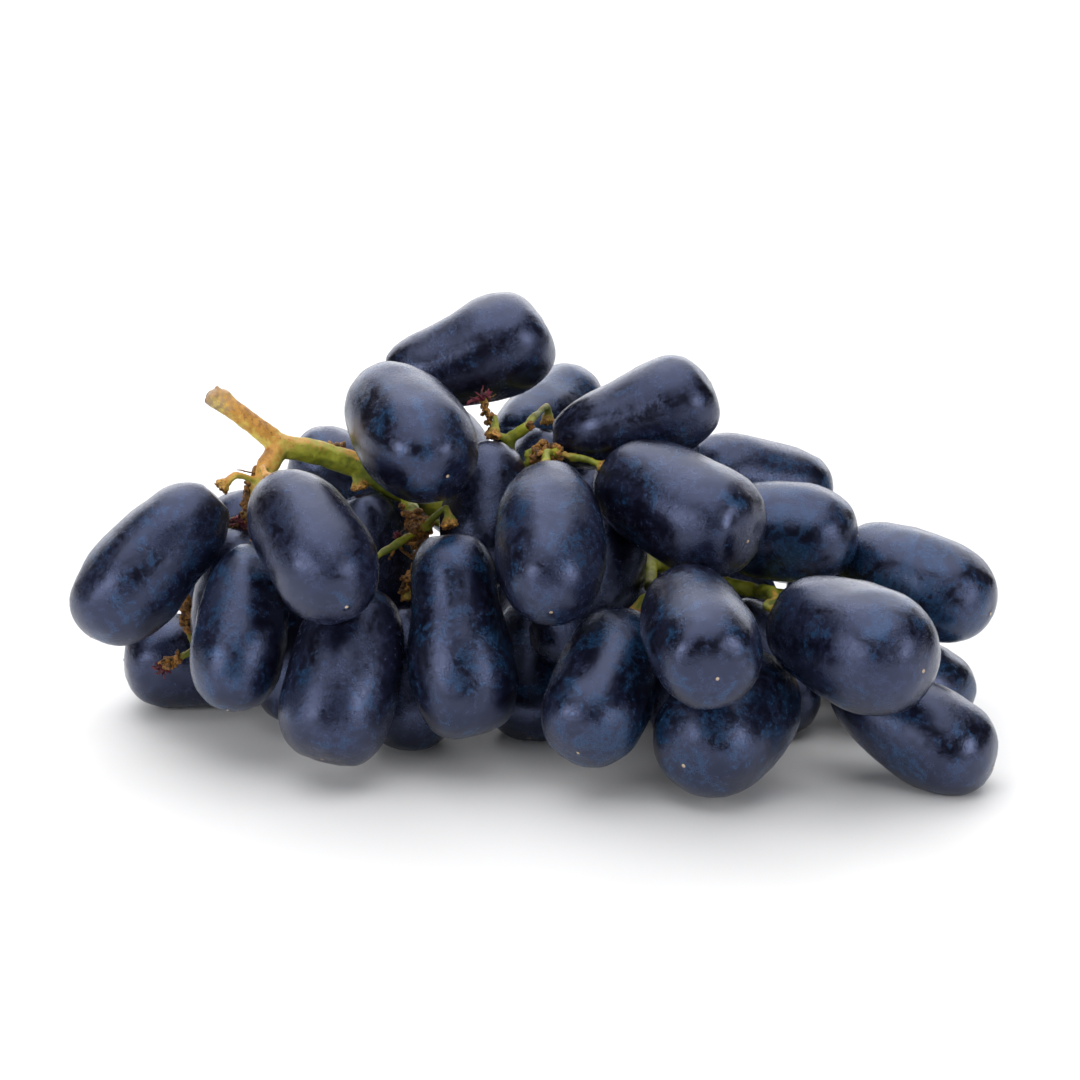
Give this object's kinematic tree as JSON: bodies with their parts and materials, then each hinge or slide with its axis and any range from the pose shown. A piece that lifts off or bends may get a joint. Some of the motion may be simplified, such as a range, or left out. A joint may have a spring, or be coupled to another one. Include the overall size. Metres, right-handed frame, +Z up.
{
  "type": "bunch of grapes",
  "caption": "Bunch of long dark grapes lying on its side, as picked, each grape on its own pedicel of a woody stem with a cut end.",
  "frame": {"origin": "centre of the bunch's box, on the surface it lies on", "axes": "+X along the bunch from the cut end of the stem to the tail, +Y to the back, +Z up, away from the surface it lies on"},
  "size_m": [0.173, 0.127, 0.0786],
  "materials": {
    "grape_skin": "near-black blue skin with a waxy grey-blue bloom, soft satin sheen",
    "stem_wood": "yellow-green stem, tan and woody towards the cut end, matte"
  },
  "bodies": {
    "root": {"grape_back_1": "grape_skin", "grape_back_10": "grape_skin", "grape_back_11": "grape_skin", "grape_back_12": "grape_skin", "grape_back_13": "grape_skin", "grape_back_14": "grape_skin", "grape_back_2": "grape_skin", "grape_back_3": "grape_skin", "grape_back_4": "grape_skin", "grape_back_5": "grape_skin", "grape_back_6": "grape_skin", "grape_back_7": "grape_skin", "grape_back_8": "grape_skin", "grape_back_9": "grape_skin", "grape_belly_1": "grape_skin", "grape_belly_2": "grape_skin", "grape_belly_3": "grape_skin", "grape_belly_4": "grape_skin", "grape_belly_5": "grape_skin", "grape_belly_6": "grape_skin", "grape_belly_7": "grape_skin", "grape_belly_8": "grape_skin", "grape_belly_9": "grape_skin", "grape_crown_1": "grape_skin", "grape_crown_2": "grape_skin", "grape_crown_3": "grape_skin", "grape_crown_4": "grape_skin", "grape_crown_5": "grape_skin", "grape_crown_6": "grape_skin", "grape_crown_7": "grape_skin", "grape_flank_1": "grape_skin", "grape_flank_2": "grape_skin", "grape_flank_3": "grape_skin", "grape_flank_4": "grape_skin", "grape_flank_5": "grape_skin", "grape_flank_6": "grape_skin", "grape_shoulder_1": "grape_skin", "grape_shoulder_2": "grape_skin", "grape_shoulder_3": "grape_skin", "grape_shoulder_4": "grape_skin", "grape_shoulder_5": "grape_skin", "grape_shoulder_6": "grape_skin", "grape_shoulder_7": "grape_skin", "grape_shoulder_8": "grape_skin", "grape_tail_1": "grape_skin", "grape_tail_2": "grape_skin", "grape_tail_3": "grape_skin", "grape_tail_4": "grape_skin", "grape_tail_5": "grape_skin", "stem": "stem_wood"}
  },
  "joints": []
}
